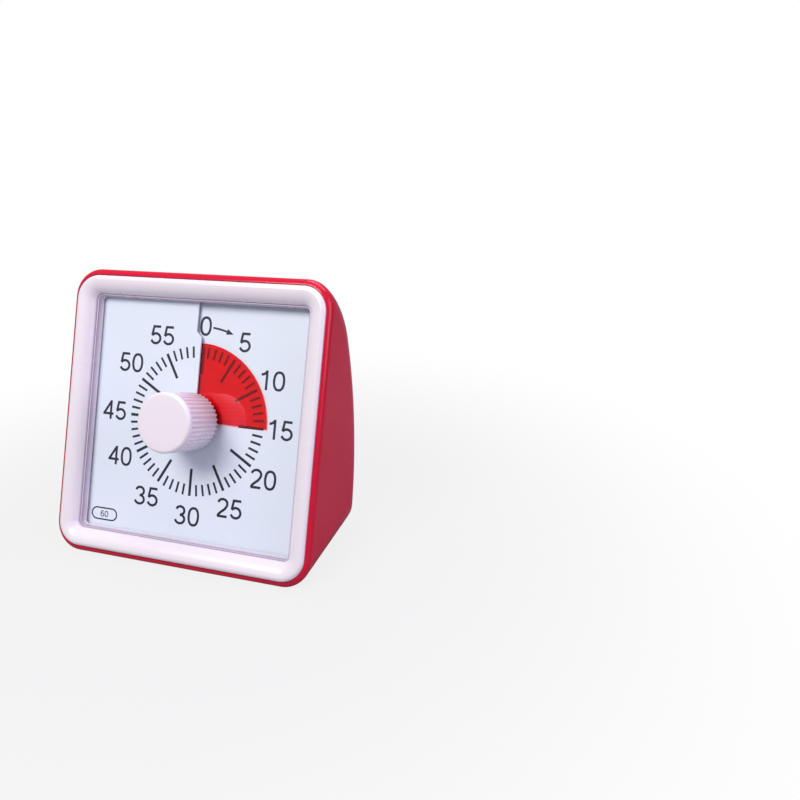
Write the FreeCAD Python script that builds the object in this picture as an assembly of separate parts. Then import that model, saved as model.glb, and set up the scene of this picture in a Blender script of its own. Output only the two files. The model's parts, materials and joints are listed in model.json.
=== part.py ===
import FreeCAD, Part
import math
import os

V = FreeCAD.Vector

# Driving dimensions, all in millimetres and degrees
# Body: a wedge that leans its face back, seen from the side as toe, heel, back and crown
lean = 22.5
body_width = 139.0
face_height = 143.4
dial_rise = 0.4
face_front = 10.2
toe_front = 40.4
heel_depth = 68.0
crown_reach = 23.3232
crown_drop = 31.48433
back_bow = 7.09
edge_round = 13.7
heel_round = 10.5
rim_round = 3.5
wall = 2.4

# Bezel: the pale frame let into the front of the housing, a moulding of one section all round
rim_side = 2.3
rim_end = 4.0
bezel_corner = 12.0
bezel_gap = 0.15
bezel_crest = 11.3
bezel_edge_round = 2.4
flange_seat = 4.5
ledge_width = 3.4
ledge_height = 3.0
ledge_root = 1.0
skirt_depth = 1.9
skirt_wall = 1.4
slope_foot = 9.0
lip_land = 0.7
lip_level = 6.1
lip_draft = 0.3
channel_width = 2.6
channel_top = 7.0
bezel_screw_y = 40.0
bezel_boss = 2.3
boss_root = 0.2

# Dial sheet and film disc: both wind once round the axis, one step deep
sheet_step = 2.2
dial_thickness = 0.8
dial_facet = 15.0
dial_margin = 1.2
dial_hole = 8.5
disc_thickness = 0.4
disc_radius = 38.3
disc_facet = 5.0
slit_setback = 2.8
slit_turn = 43.8
slit_chamfer = 5.5
slit_overlap = 7.0
slit_start = 12.0
slit_seam = 0.5
minutes_shown = 15.0

# Knob, arbor and the collar that carries the film disc
knob_radius = 14.0
knob_front = 27.5
knob_rear = 3.8
knob_cap = 3.8
knob_edge_round = 2.0
knob_wall = 2.0
rib_count = 38
rib_depth = 0.6
rib_top_share = 0.32
rib_foot_share = 0.72
boss_radius = 4.2
boss_rear = 4.4
web_count = 4
web_thickness = 1.2
web_rear = 6.0
arbor_radius = 1.5
arbor_flat = 1.05
arbor_press = 0.02
arbor_socket_roof = 1.5
arbor_end_gap = 0.2
arbor_rear_gap = 0.4
running_gap = 0.05
hub_radius = 6.0
hub_height = 3.5
hub_groove = 0.5
hub_rim = 1.2
hub_core = 1.4
hub_recess = 1.0

# Carrier behind the dial sheet
carrier_thickness = 2.0
carrier_level = -2.6
carrier_gap = 0.5
carrier_low_inset = 5.7
carrier_corner = 6.0
carrier_hole = 5.5
post_radius = 1.8
post_inset = 7.5
post_gap = 0.2
housing_screw_x = 50.0
housing_screw_up = 46.0
housing_screw_down = 22.0
carrier_boss = 3.5
carrier_boss_height = 6.0
rib_thickness = 1.2
rib_height = 3.0
rib_place = 15.0
rib_end = 1.0
frame_gap = 0.3

# Clockwork case
case_half = 29.0
case_depth = 15.8
case_split = 7.9
case_wall = 1.4
case_plate = 1.2
case_corner = 4.0
case_bush_gap = 1.0
bush_end_gap = 0.2
rear_bush_radius = 3.0
rear_bush_height = 3.0
column_inset = 4.0
column_radius = 3.0
pin_radius = 0.4
pin_seat = 0.6
short_pin_end = 0.4

# Wheels: teeth, modules and the places of the layers behind the carrier
fine_module = 0.25
coarse_module = 0.35
pinion_teeth = 8
centre_teeth = 60
third_teeth = 64
second_teeth = 40
intermediate_teeth = 48
addendum = 0.9
dedendum = 1.25
tooth_tip_share = 0.18
tooth_foot_share = 0.5
wheel_thickness = 0.8
layer_pitch = 1.9
first_layer = 2.4
pinion_extra = 0.2
window_place = 0.62
window_size = 0.3
wheel_windows = 3
centre_windows = 5
centre_window_radius = 2.3
centre_hub_radius = 3.0
centre_hub_rear = 0.4
centre_hub_front = 0.6
washer_radius = 3.3
washer_thickness = 0.25
third_angle = 150.0
second_angle = 60.0
intermediate_angle = -10.0
rotor_angle = -20.0

# Stepping motor
magnet_radius = 3.0
magnet_height = 2.4
magnet_gap = 0.8
stator_air_gap = 0.5
stator_thickness = 1.2
stator_width = 8.6
stator_reach = 13.3
stator_arm = 6.0
stator_post_radius = 1.6
core_offset = 10.1
core_width = 4.5
coil_radius = 3.5
coil_flange = 4.2
coil_length = 13.0
flange_thickness = 0.8

# Board behind the clockwork, its parts and the contact that closes at zero
board_gap = 3.0
board_half_x = 25.0
board_half_y = 22.0
board_thickness = 1.6
board_corner = 2.0
board_post_inset_x = 3.0
board_post_inset_y = 4.0
board_post_radius = 2.2
board_screw_radius = 0.8
chip_x = -8.0
chip_y = 6.0
chip_radius = 4.0
chip_height = 1.4
crystal_x = 4.0
crystal_y = 8.0
crystal_radius = 1.0
crystal_length = 6.0
crystal_foot = 0.6
cam_radius = 4.0
cam_lobe = 5.6
cam_lobe_half = 1.0
cam_thickness = 1.6
cam_gap = 0.7
leaf_thickness = 0.3
leaf_length = 17.0
leaf_width = 1.6
leaf_gap = 0.2
leaf_overhang = 4.0
leaf_foot_height = 2.0
leaf_pad = 2.5

# Screws
screw_clear = 0.2
case_screw_radius = 1.1
shell_screw_radius = 1.3
head_factor = 1.8
head_height = 1.5
screw_slot_width = 0.5
screw_slot_depth = 0.6
screw_tip_gap = 0.5
blind_floor = 0.4
socket_radius = 2.9
tower_radius = 4.4
tower_floor = 2.5

# Back of the housing: battery bay, its door, sound switch and sounder
bay_height = 29.0
bay_clear = 1.5
bay_wall = 1.6
door_margin = 3.0
door_thickness = 2.2
door_gap = 0.3
door_corner = 2.0
door_seat = 1.6
door_seat_depth = 2.0
door_hook = 1.6
hook_width = 8.0
hook_place = 18.0
hook_thickness = 1.0
hook_play = 0.3
latch_width = 12.0
latch_slot = 1.2
latch_depth = 0.6
battery_radius = 7.15
battery_length = 49.2
battery_nub = 2.75
battery_nub_length = 1.3
battery_lid_gap = 0.6
contact_thickness = 0.5
contact_gap = 0.2
contact_half_width = 6.0
contact_rise = 5.0
contact_tab_half = 2.0
plate_room = 3.3
spring_room = 7.5
spring_wire = 0.6
spring_turns = 4
spring_radius = 4.2
spring_taper = 1.2
switch_x = 26.0
switch_height = 84.0
switch_travel = 3.0
switch_knob_x = 4.0
switch_knob_y = 3.0
switch_knob_root = 1.2
switch_proud = 1.6
switch_ridge = 0.6
switch_ridge_pitch = 1.2
switch_ridge_height = 0.4
switch_stem_x = 3.0
switch_stem_y = 2.0
switch_stem_length = 1.5
switch_slot_gap = 0.4
switch_body_x = 8.5
switch_body_y = 3.6
switch_body_depth = 5.0
switch_body_gap = 1.6
switch_track_depth = 2.0
switch_pin_pitch = 5.0
switch_pin_x = 0.8
switch_pin_y = 0.6
switch_pin_length = 2.5
rail_gap = 0.2
rail_wall = 1.4
buzzer_x = -26.0
buzzer_radius = 9.0
buzzer_height = 4.0
buzzer_gap = 0.6
buzzer_port_radius = 1.2
buzzer_port_depth = 1.2
ring_gap = 0.2
ring_wall = 1.3
ring_extra = 1.0
sound_hole_radius = 1.1
sound_hole_pitch = 4.0
sound_hole_count = 6

# How far a cut runs past the face that it opens, and how deep a fused piece reaches into another
past = 1.0
bite = 0.1
near = 0.01

# Directions and places that follow from the lean
lean_sin = math.sin(math.radians(lean))
lean_cos = math.cos(math.radians(lean))
face_up_way = V(0, lean_sin, lean_cos)
face_out_way = V(0, -lean_cos, lean_sin)
toe = V(0, -toe_front, 0)
face_top = toe + face_up_way * face_height
face_down = face_height / 2 + dial_rise
dial_centre = toe + face_up_way * face_down - face_out_way * face_front
face_place = FreeCAD.Placement(dial_centre, FreeCAD.Rotation(V(1, 0, 0), 90 - lean))
far = 2 * body_width

# Sizes that follow from what each piece seats on
bezel_half_x = body_width / 2 - rim_side
bezel_half_y = face_height / 2 - rim_end
lip_half_x = bezel_half_x - slope_foot - lip_land
lip_half_y = bezel_half_y - slope_foot - lip_land
skirt_foot = flange_seat - skirt_depth
bezel_screw_x = bezel_half_x - ledge_width - 2 * bezel_gap - bezel_boss
disc_gap = (sheet_step - dial_thickness - disc_thickness) / 2
shown_angle = minutes_shown * 6
disc_level = sheet_step * shown_angle / 360 - dial_thickness - disc_thickness - disc_gap
carrier_inset = ledge_width + carrier_gap
carrier_back = carrier_level - carrier_thickness
case_rear = carrier_back - case_depth
column_place = case_half - column_inset
board_front = case_rear - board_gap
board_rear = board_front - board_thickness
board_post_x = board_half_x - board_post_inset_x
board_post_y = board_half_y - board_post_inset_y
bay_half_y = battery_radius + bay_clear
bay_depth = door_thickness + battery_lid_gap + 2 * battery_radius + bay_clear
bay_half_x = (
    spring_room + battery_length + battery_nub_length + contact_gap + contact_thickness + plate_room
) / 2
battery_level = -door_thickness - battery_lid_gap - battery_radius
battery_start = spring_room - bay_half_x


# Helpers for solids in the dial's own frame: x right, y up the face, z towards the viewer

def to_world(shape):
    return shape.transformed(face_place.toMatrix(), True)


def rounded_outline(half_x, low_y, high_y, level, corner):
    edges = []
    centres = [
        (half_x - corner, high_y - corner),
        (-half_x + corner, high_y - corner),
        (-half_x + corner, low_y + corner),
        (half_x - corner, low_y + corner),
    ]
    last = V(half_x, low_y + corner, level)
    for quarter, (x, y) in enumerate(centres):
        points = []
        for step in range(3):
            across, along = polar(corner, 90 * quarter + 90 * step / 2)
            points.append(V(x + across, y + along, level))
        edges.append(Part.LineSegment(last, points[0]).toShape())
        edges.append(Part.Arc(points[0], points[1], points[2]).toShape())
        last = points[2]
    return Part.Wire(edges)


def rounded_block(half_x, low_y, high_y, low, high, corner):
    outline = rounded_outline(half_x, low_y, high_y, low, corner)
    return Part.Face(outline).extrude(V(0, 0, high - low))


def block(low_x, high_x, low_y, high_y, low_z, high_z):
    return Part.makeBox(high_x - low_x, high_y - low_y, high_z - low_z, V(low_x, low_y, low_z))


def bar(half_x, half_y, low, high, x=0.0, y=0.0):
    return block(x - half_x, x + half_x, y - half_y, y + half_y, low, high)


def rod(radius, low, high, x=0.0, y=0.0):
    return Part.makeCylinder(radius, high - low, V(x, y, low))


def tube(outer, inner, low, high, x=0.0, y=0.0):
    return rod(outer, low, high, x, y).cut(rod(inner, low, high, x, y))


def along_x(radius, start, length, y, level):
    return Part.makeCylinder(radius, length, V(start, y, level), V(1, 0, 0))


def joined(shapes):
    return shapes[0].multiFuse(shapes[1:]).removeSplitter()


def polar(radius, degrees):
    turn = math.radians(degrees)
    return radius * math.cos(turn), radius * math.sin(turn)


def corners_of(half_x, half_y):
    return [(x, y) for x in (half_x, -half_x) for y in (half_y, -half_y)]


def edges_where(shape, test):
    return [edge for edge in shape.Edges if test(edge)]


def edge_points(edge):
    first, last = edge.ParameterRange
    return [edge.valueAt(first + (last - first) * share) for share in (0.02, 0.5, 0.98)]


# Housing envelope

def back_arc():
    heel = toe + V(0, heel_depth, 0)
    knee = face_top + V(0, crown_reach, -crown_drop)
    rise = (knee - heel).normalize()
    outward = V(0, rise.z, -rise.y)
    return Part.Arc(heel, (heel + knee) * 0.5 + outward * back_bow, knee).toShape()


def side_outline(inset):
    back = back_arc()
    heel = back.Vertexes[0].Point
    knee = back.Vertexes[1].Point
    top = face_top
    inward = (back.Curve.Center - knee).normalize()
    span = knee - top
    crown_radius = -span.dot(span) / (2 * inward.dot(span))
    crown_centre = knee + inward * crown_radius
    middle = ((knee - crown_centre) + (top - crown_centre)).normalize() * crown_radius
    crown = Part.Arc(knee, crown_centre + middle, top)
    base = Part.LineSegment(toe, heel)
    front = Part.LineSegment(top, toe)
    wire = Part.Wire([base.toShape(), back, crown.toShape(), front.toShape()])
    return wire.makeOffset2D(-inset) if inset else wire


def wedge(inset):
    half = body_width / 2 - inset
    plane = face_front - inset
    solid = Part.Face(side_outline(inset)).extrude(V(2 * half, 0, 0))
    solid.translate(V(-half, 0, 0))

    def is_heel(edge):
        points = edge_points(edge)
        across = abs(points[0].x - points[2].x) > half
        low = all(abs(point.z - inset) < near for point in points)
        return across and low and points[1].y > 0

    def is_side(edge):
        points = edge_points(edge)
        outside = all(abs(abs(point.x) - half) < near for point in points)
        depth = (points[1] - dial_centre).dot(face_out_way)
        return outside and depth < plane - near

    solid = solid.makeFillet(heel_round - inset, edges_where(solid, is_heel))
    return solid.makeFillet(edge_round - inset, edges_where(solid, is_side))


def envelope():
    solid = wedge(0)

    def is_front(edge):
        return all(
            abs((point - dial_centre).dot(face_out_way) - face_front) < near
            for point in edge_points(edge)
        )

    return solid.makeFillet(rim_round, edges_where(solid, is_front))


# Outlines and places that the housing, the bezel and the carrier share

def opening_block(inset, low, high):
    half_y = bezel_half_y - inset
    return rounded_block(bezel_half_x - inset, -half_y, half_y, low, high, bezel_corner - inset)


def housing_screw_places():
    return [
        (side * housing_screw_x, y)
        for side in (1, -1)
        for y in (housing_screw_up, -housing_screw_down)
    ]


# A frame on the back wall: x across, y up the wall, z outwards

def back_place(x, height):
    arc = back_arc().Curve
    rise = height - arc.Center.z
    reach = math.sqrt(arc.Radius ** 2 - rise ** 2)
    point = V(x, arc.Center.y + reach, height)
    tilt = math.degrees(math.atan2(rise, reach))
    turn = FreeCAD.Rotation(V(0, 0, 1), 180).multiply(FreeCAD.Rotation(V(1, 0, 0), 90 - tilt))
    return FreeCAD.Placement(point, turn)


def on_back(shape, place):
    return shape.transformed(place.toMatrix(), True)


bay_place = back_place(0, bay_height)
switch_place = back_place(switch_x, switch_height)
buzzer_place = back_place(buzzer_x, switch_height)


def door_block(grow, low, high):
    half_x = bay_half_x + door_margin + grow
    half_y = bay_half_y + door_margin + grow
    return rounded_block(half_x, -half_y, half_y, low, high, door_corner + grow)


# The battery door turns about its low edge, where the outer surface meets it

door_low_edge = -bay_half_y - door_margin
back_radius = back_arc().Curve.Radius
door_axis_level = math.sqrt(back_radius ** 2 - door_low_edge ** 2) - back_radius
hook_low = -door_thickness
hook_high = hook_low + hook_thickness


def hook_relief(x):
    reach = math.hypot(door_hook, door_axis_level - hook_low) + hook_play
    half = hook_width / 2 + hook_play
    sweep = Part.makeCylinder(reach, 2 * half, V(x - half, door_low_edge, door_axis_level), V(1, 0, 0))
    return sweep.cut(bar(half + past, far, hook_high + hook_play, far, x, 0))


# Housing: a shell with a ledge for the bezel, screw towers, the battery bay and seats at the back

def ledge():
    block_round = opening_block(-ledge_root, flange_seat - ledge_height, flange_seat)
    inside = opening_block(ledge_width, flange_seat - ledge_height - past, flange_seat + past)
    return to_world(block_round.cut(inside))


tower_foot = carrier_back - carrier_boss_height


def screw_tower(x, y):
    return to_world(rod(tower_radius, -far, tower_foot, x, y))


def screw_way(x, y):
    floor = tower_foot - tower_floor
    socket = rod(socket_radius, -far, floor, x, y)
    return to_world(socket.fuse(rod(shell_screw_radius + screw_clear, floor - past, 0, x, y)))


def switch_rail(side):
    middle = side * (switch_body_y + rail_gap + rail_wall / 2)
    rail = bar(switch_body_x, rail_wall / 2, -wall - switch_body_depth, 0, 0, middle)
    return on_back(rail, switch_place)


def switch_slot():
    half_x = switch_knob_x / 2 + switch_travel + switch_slot_gap
    return on_back(bar(half_x, switch_knob_y / 2 + switch_slot_gap, -2 * wall, past, 0, 0), switch_place)


def buzzer_ring():
    inner = buzzer_radius + ring_gap
    return on_back(tube(inner + ring_wall, inner, -wall - buzzer_height - ring_extra, 0), buzzer_place)


def sound_holes():
    holes = [rod(sound_hole_radius, -2 * wall, past)]
    for index in range(sound_hole_count):
        x, y = polar(sound_hole_pitch, index * 360.0 / sound_hole_count)
        holes.append(rod(sound_hole_radius, -2 * wall, past, x, y))
    return [on_back(hole, buzzer_place) for hole in holes]


def housing():
    outer = envelope()
    shell = outer.cut(wedge(wall))
    shell = shell.cut(to_world(opening_block(-bezel_gap, flange_seat, far)))
    bay = bar(bay_half_x + bay_wall, bay_half_y + bay_wall, -bay_depth - bay_wall, wall)
    seat = door_block(door_seat, -door_thickness - door_seat_depth, wall)
    additions = [ledge(), on_back(bay, bay_place), on_back(seat, bay_place), buzzer_ring()]
    additions += [screw_tower(x, y) for x, y in housing_screw_places()]
    additions += [switch_rail(side) for side in (1, -1)]
    shell = joined([shell] + [addition.common(outer) for addition in additions])
    cuts = [screw_way(x, y) for x, y in housing_screw_places()]
    cuts.append(on_back(bar(bay_half_x, bay_half_y, -bay_depth, 2 * wall), bay_place))
    cuts.append(on_back(door_block(door_gap, -door_thickness - door_gap, 2 * wall), bay_place))
    cuts += [on_back(hook_relief(side * hook_place), bay_place) for side in (1, -1)]
    cuts.append(switch_slot())
    for cutter in cuts + sound_holes():
        shell = shell.cut(cutter)
    return shell


# Bezel: its section is swept along the sides and turned round the corners

def bezel_section():
    """The section in x and z, where x counts from the centre of a corner."""
    edge_centre = V(bezel_corner - bezel_edge_round, 0, bezel_crest - bezel_edge_round)
    slanted = bezel_edge_round * math.sqrt(0.5)
    crease = V(bezel_corner - slope_foot, 0, lip_level)
    crest = edge_centre + V(0, 0, bezel_edge_round)
    run = crest.x - crease.x
    fall = crest.z - crease.z
    slope_radius = (run ** 2 + fall ** 2) / (2 * fall)
    half_turn = math.asin(run / slope_radius) / 2
    slope_middle = crest + V(-math.sin(half_turn), 0, math.cos(half_turn) - 1) * slope_radius
    outer_top = edge_centre + V(bezel_edge_round, 0, 0)
    skirt_outer = bezel_corner - ledge_width - bezel_gap
    channel_outer = skirt_outer - skirt_wall
    channel_inner = channel_outer - channel_width
    edges = [
        Part.Arc(outer_top, edge_centre + V(slanted, 0, slanted), crest).toShape(),
        Part.Arc(crest, slope_middle, crease).toShape(),
    ]
    corners = [
        crease,
        V(crease.x - lip_land, 0, lip_level),
        V(crease.x - lip_land - lip_draft, 0, skirt_foot),
        V(channel_inner, 0, skirt_foot),
        V(channel_inner, 0, channel_top),
        V(channel_outer, 0, channel_top),
        V(channel_outer, 0, skirt_foot),
        V(skirt_outer, 0, skirt_foot),
        V(skirt_outer, 0, flange_seat),
        V(bezel_corner, 0, flange_seat),
        outer_top,
    ]
    for start, finish in zip(corners, corners[1:]):
        edges.append(Part.LineSegment(start, finish).toShape())
    return Part.Face(Part.Wire(edges))


def bezel():
    straight_x = bezel_half_x - bezel_corner
    straight_y = bezel_half_y - bezel_corner
    pieces = []
    for quarter in range(4):
        across, along = (straight_x, straight_y) if quarter % 2 == 0 else (straight_y, straight_x)
        side = bezel_section()
        side.translate(V(across, -along, 0))
        corner = bezel_section()
        corner.translate(V(across, along, 0))
        for piece in (
            side.extrude(V(0, 2 * along, 0)),
            corner.revolve(V(across, along, 0), V(0, 0, 1), 90),
        ):
            piece.rotate(V(0, 0, 0), V(0, 0, 1), quarter * 90)
            pieces.append(piece)
    places = corners_of(bezel_screw_x, bezel_screw_y)
    bosses = [rod(bezel_boss, carrier_level, channel_top + boss_root, x, y) for x, y in places]
    body = joined(pieces + bosses)
    for x, y in places:
        body = body.cut(rod(case_screw_radius, carrier_level - past, flange_seat, x, y))
    return to_world(body)


# Dial sheet and film disc: one turn of a screw surface that rises clockwise, in flat facets

def sheet_section(clockwise, inner, outer, low, high):
    turn = math.radians(clockwise)
    way = V(math.sin(turn), math.cos(turn), 0)
    return [way * inner + V(0, 0, low), way * outer + V(0, 0, low),
            way * outer + V(0, 0, high), way * inner + V(0, 0, high)]


def flat_face(points):
    return Part.Face(Part.makePolygon(points + [points[0]]))


def winding_sheet(inner, reach, level, thickness, start_angle, angles):
    """Facets between radial sections, with reach giving the outer edge at each angle."""
    sections = []
    for angle in angles:
        low = level + sheet_step * angle / 360
        clockwise = start_angle + angle
        sections.append(sheet_section(clockwise, inner, reach(clockwise), low, low + thickness))
    faces = [flat_face(sections[0][::-1]), flat_face(sections[-1])]
    for one, other in zip(sections, sections[1:]):
        for index in range(4):
            follow = (index + 1) % 4
            faces.append(flat_face([one[index], one[follow], other[follow]]))
            faces.append(flat_face([one[index], other[follow], other[index]]))
    return Part.makeSolid(Part.makeShell(faces))


def facet_angles(facet):
    count = round(360 / facet)
    return [index * 360.0 / count for index in range(count + 1)]


def dial_back(x, y):
    clockwise = math.degrees(math.atan2(x, y)) % 360
    return sheet_step * clockwise / 360 - dial_thickness


def dial_plate():
    half_x = lip_half_x + dial_margin
    half_y = lip_half_y + dial_margin

    def card_edge(clockwise):
        turn = math.radians(clockwise)
        across = max(abs(math.sin(turn)), near / far)
        along = max(abs(math.cos(turn)), near / far)
        return min(half_x / across, half_y / along)

    corner_angle = math.degrees(math.atan2(half_x, half_y))
    corner_angles = [corner_angle, 180 - corner_angle, 180 + corner_angle, 360 - corner_angle]
    angles = sorted(corner_angles + facet_angles(dial_facet))
    sheet = winding_sheet(dial_hole, card_edge, -dial_thickness, dial_thickness, 0, angles)
    notch_low = (sheet_step - dial_thickness) / 2
    slant_end = disc_radius + slit_chamfer - slit_setback
    notch = flat_face([
        V(0, slant_end, notch_low),
        V(-slit_setback, slit_turn, notch_low),
        V(-slit_setback, half_y + past, notch_low),
        V(past, half_y + past, notch_low),
        V(past, slant_end, notch_low),
    ])
    sheet = sheet.cut(notch.extrude(V(0, 0, 2 * sheet_step)))
    under = block(-slit_overlap, slit_seam, slit_start, half_y, -dial_thickness, 0)
    return to_world(joined([sheet, under]))


def time_disc():
    inner = hub_radius / math.cos(math.radians(disc_facet / 2))
    sheet = winding_sheet(inner, lambda clockwise: disc_radius, disc_level, disc_thickness,
                          shown_angle, facet_angles(disc_facet))
    return to_world(sheet)


def arbor_section(grow, low, high):
    section = rod(arbor_radius + grow, low, high)
    half = arbor_radius + past
    return section.cut(block(-half, half, arbor_flat + grow, 2 * half, low - past, high + past))


def disc_hub():
    low = disc_level - hub_groove
    high = low + hub_height
    hub = rod(hub_radius, low, high)
    recess = tube(hub_radius - hub_rim, arbor_radius + hub_core, high - hub_recess, high)
    return to_world(hub.cut(recess).cut(arbor_section(running_gap, low - past, high + past)))


# Knob, arbor and what turns with them

def wavy_outline(count, foot, top, foot_share, top_share, start, level):
    """A closed outline of ribs or teeth: count tops with sloping flanks between them."""
    points = []
    pitch = 360.0 / count
    for index in range(count):
        centre = start + index * pitch
        for share, radius in ((-foot_share, foot), (-top_share, top), (top_share, top), (foot_share, foot)):
            x, y = polar(radius, centre + share * pitch / 2)
            points.append(V(x, y, level))
    return flat_face(points)


def knob():
    cap_level = knob_front - knob_cap
    ribs = wavy_outline(rib_count, knob_radius - rib_depth, knob_radius, rib_foot_share, rib_top_share,
                        0, knob_rear)
    grip = ribs.extrude(V(0, 0, cap_level - knob_rear))
    cap = rod(knob_radius, cap_level, knob_front)

    def is_front(edge):
        return all(abs(point.z - knob_front) < near for point in edge_points(edge))

    cap = cap.makeFillet(knob_edge_round, edges_where(cap, is_front))
    body = joined([grip, cap])
    inner = knob_radius - rib_depth - knob_wall
    roof = knob_front - knob_wall
    body = body.cut(rod(inner, knob_rear - past, roof))
    webs = []
    for index in range(web_count):
        web = block(boss_radius - bite, inner + bite, -web_thickness / 2, web_thickness / 2,
                    knob_rear + web_rear, roof + bite)
        web.rotate(V(0, 0, 0), V(0, 0, 1), (index + 0.5) * 360.0 / web_count)
        webs.append(web)
    body = joined([body, rod(boss_radius, boss_rear, roof + bite)] + webs)
    return to_world(body.cut(arbor_section(arbor_press, boss_rear - past, roof - arbor_socket_roof)))


def arbor():
    front = knob_front - knob_wall - arbor_socket_roof - arbor_end_gap
    keyed = arbor_section(0, carrier_level, front)
    plain = rod(arbor_radius, board_front + arbor_rear_gap, carrier_level)
    return to_world(joined([keyed, plain]))


cam_low = board_front + cam_gap


def zero_cam():
    high = cam_low + cam_thickness
    lobe = block(0, cam_lobe, -cam_lobe_half, cam_lobe_half, cam_low, high)
    lobe.rotate(V(0, 0, 0), V(0, 0, 1), shown_angle - 90)
    cam = joined([rod(cam_radius, cam_low, high), lobe])
    return to_world(cam.cut(rod(arbor_radius, cam_low - past, high + past)))


# Wheels

wheel_front = carrier_back - first_layer
wheel_half = wheel_thickness / 2


def layer_level(index):
    return wheel_front - index * layer_pitch


def toothed(teeth, module, low, high, phase):
    foot = module * (teeth / 2 - dedendum)
    tip = module * (teeth / 2 + addendum)
    outline = wavy_outline(teeth, foot, tip, tooth_foot_share, tooth_tip_share, phase, low)
    return outline.extrude(V(0, 0, high - low))


def centre_distance(teeth, module):
    return module * (teeth + pinion_teeth) / 2


def next_place(x, y, teeth, module, angle):
    step_x, step_y = polar(centre_distance(teeth, module), angle)
    return x + step_x, y + step_y


third_x, third_y = next_place(0, 0, centre_teeth, coarse_module, third_angle)
second_x, second_y = next_place(third_x, third_y, third_teeth, fine_module, second_angle)
intermediate_x, intermediate_y = next_place(
    second_x, second_y, second_teeth, fine_module, intermediate_angle)
rotor_x, rotor_y = next_place(
    intermediate_x, intermediate_y, intermediate_teeth, fine_module, rotor_angle)


def meshing(angle):
    """The phase at which a pinion's gap faces the tooth of the wheel that drives it."""
    return angle + 180 + 180.0 / pinion_teeth


def with_windows(wheel, count, place, radius, level):
    for index in range(count):
        x, y = polar(place, (index + 0.5) * 360.0 / count)
        wheel = wheel.cut(rod(radius, level - wheel_thickness, level + wheel_thickness, x, y))
    return wheel


def wheel_and_pinion(teeth, layer, wheel_phase, pinion_module, pinion_phase, place):
    level = layer_level(layer)
    pinion_top = layer_level(layer - 1) + wheel_half + pinion_extra
    wheel = toothed(teeth, fine_module, level - wheel_half, level + wheel_half, wheel_phase)
    window = fine_module * teeth / 2 * window_place
    wheel = with_windows(wheel, wheel_windows, window, window * window_size, level)
    pinion = toothed(pinion_teeth, pinion_module, level, pinion_top, pinion_phase)
    body = joined([wheel, pinion])
    body = body.cut(rod(pin_radius + running_gap, level - wheel_thickness, pinion_top + past))
    body.translate(V(place[0], place[1], 0))
    return to_world(body)


def centre_wheel():
    level = layer_level(0)
    wheel = toothed(centre_teeth, coarse_module, level - wheel_half, level + wheel_half, third_angle)
    rear = level - wheel_half - centre_hub_rear
    front = level + wheel_half + centre_hub_front
    wheel = joined([wheel, rod(centre_hub_radius, rear, front)])
    window = coarse_module * centre_teeth / 2 * window_place
    wheel = with_windows(wheel, centre_windows, window, centre_window_radius, level)
    return to_world(wheel.cut(rod(arbor_radius + running_gap, rear - past, front + past)))


def third_wheel():
    return wheel_and_pinion(third_teeth, 1, second_angle, coarse_module, meshing(third_angle),
                            (third_x, third_y))


def second_wheel():
    return wheel_and_pinion(second_teeth, 2, intermediate_angle, fine_module, meshing(second_angle),
                            (second_x, second_y))


def intermediate_wheel():
    return wheel_and_pinion(intermediate_teeth, 3, rotor_angle, fine_module,
                            meshing(intermediate_angle), (intermediate_x, intermediate_y))


magnet_top = layer_level(3) - wheel_half - pinion_extra - magnet_gap
stator_level = magnet_top - magnet_height / 2


def rotor():
    magnet_low = magnet_top - magnet_height
    pinion_top = layer_level(3) + wheel_half + pinion_extra
    pinion = toothed(pinion_teeth, fine_module, magnet_top, pinion_top, meshing(rotor_angle))
    body = joined([pinion, rod(magnet_radius, magnet_low, magnet_top)])
    body = body.cut(rod(pin_radius + running_gap, magnet_low - past, pinion_top + past))
    body.translate(V(rotor_x, rotor_y, 0))
    return to_world(body)


def clutch_washer():
    level = layer_level(0) - wheel_half - centre_hub_rear - running_gap
    return to_world(tube(washer_radius, arbor_radius, level - washer_thickness, level))


# Clockwork case, pins and motor

pin_front = carrier_back - case_plate + pin_seat
pin_rear = case_rear + case_plate - pin_seat


def pin_places():
    return [
        (third_x, third_y, pin_rear),
        (second_x, second_y, layer_level(2) - wheel_half - short_pin_end),
        (intermediate_x, intermediate_y, pin_rear),
        (rotor_x, rotor_y, pin_rear),
    ]


def pin_rods():
    return [rod(pin_radius, rear, pin_front, x, y) for x, y, rear in pin_places()]


def wheel_pins():
    return to_world(Part.makeCompound(pin_rods()))


def column_places():
    return corners_of(column_place, column_place)


def case_shell(low, high, cavity_low, cavity_high):
    shell = rounded_block(case_half, -case_half, case_half, low, high, case_corner)
    inner = case_half - case_wall
    hollow = rounded_block(inner, -inner, inner, cavity_low, cavity_high, case_corner - case_wall)
    columns = [rod(column_radius, low, high, x, y) for x, y in column_places()]
    return joined([shell.cut(hollow)] + columns)


def with_holes(shell, radius, low, high, places):
    for x, y in places:
        shell = shell.cut(rod(radius, low, high, x, y))
    return shell


def movement_front_case():
    low = carrier_back - case_split
    shell = case_shell(low, carrier_back, low - past, carrier_back - case_plate)
    bush = rod(carrier_hole - case_bush_gap, carrier_back - case_plate, carrier_level - bush_end_gap)
    shell = joined([shell, bush]).cut(rod(arbor_radius + running_gap, low, 0))
    shell = with_holes(shell, case_screw_radius + screw_clear, low - past, carrier_back + past,
                       column_places())
    for pin in pin_rods():
        shell = shell.cut(pin)
    return to_world(shell)


def board_post_places():
    return corners_of(board_post_x, board_post_y)


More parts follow.
